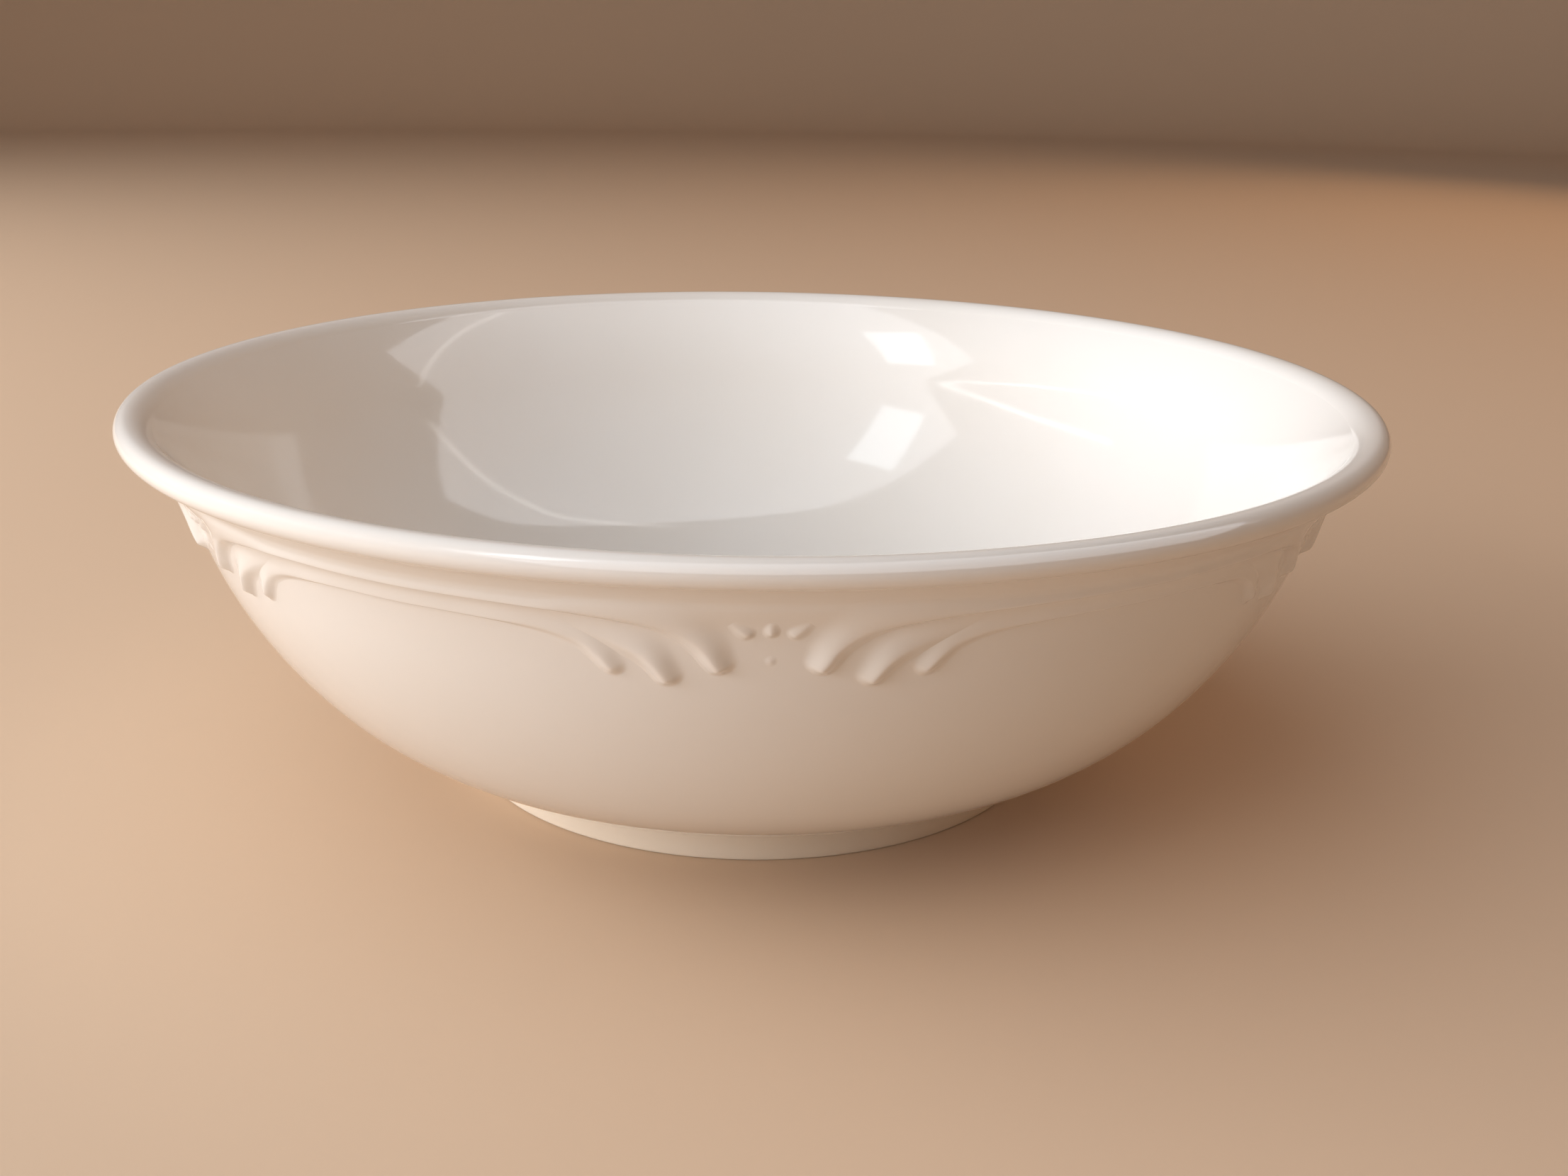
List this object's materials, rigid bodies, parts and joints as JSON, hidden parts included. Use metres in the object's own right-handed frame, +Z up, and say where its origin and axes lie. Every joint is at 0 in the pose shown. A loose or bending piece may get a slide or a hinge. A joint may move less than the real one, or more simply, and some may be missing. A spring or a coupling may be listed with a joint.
{
  "type": "serving bowl",
  "caption": "Round porcelain serving bowl with a flared wall, rolled rim, low foot ring, and fine ribs that end in curling plumes and petals below the rim.",
  "frame": {"origin": "middle of the flat face of the foot ring, which the bowl stands on", "axes": "+Z up along the bowl's axis; -Y through the middle of one of the relief motifs"},
  "size_m": [0.228, 0.228, 0.072],
  "materials": {
    "glazed_porcelain": "smooth glossy white glaze, slightly warm, a little pooled beside the relief",
    "foot_porcelain": "glossy glaze on the sides of the foot ring, bare matte porcelain on the face that it stands on"
  },
  "bodies": {
    "root": {"bowl_floor": "glazed_porcelain", "bowl_wall": "glazed_porcelain", "rolled_rim": "glazed_porcelain", "foot_ring": "foot_porcelain", "upper_rib": "glazed_porcelain", "lower_rib": "glazed_porcelain", "inner_plumes": "glazed_porcelain", "middle_plumes": "glazed_porcelain", "outer_plumes": "glazed_porcelain", "crest_petals": "glazed_porcelain", "crest_beads": "glazed_porcelain"}
  },
  "joints": []
}
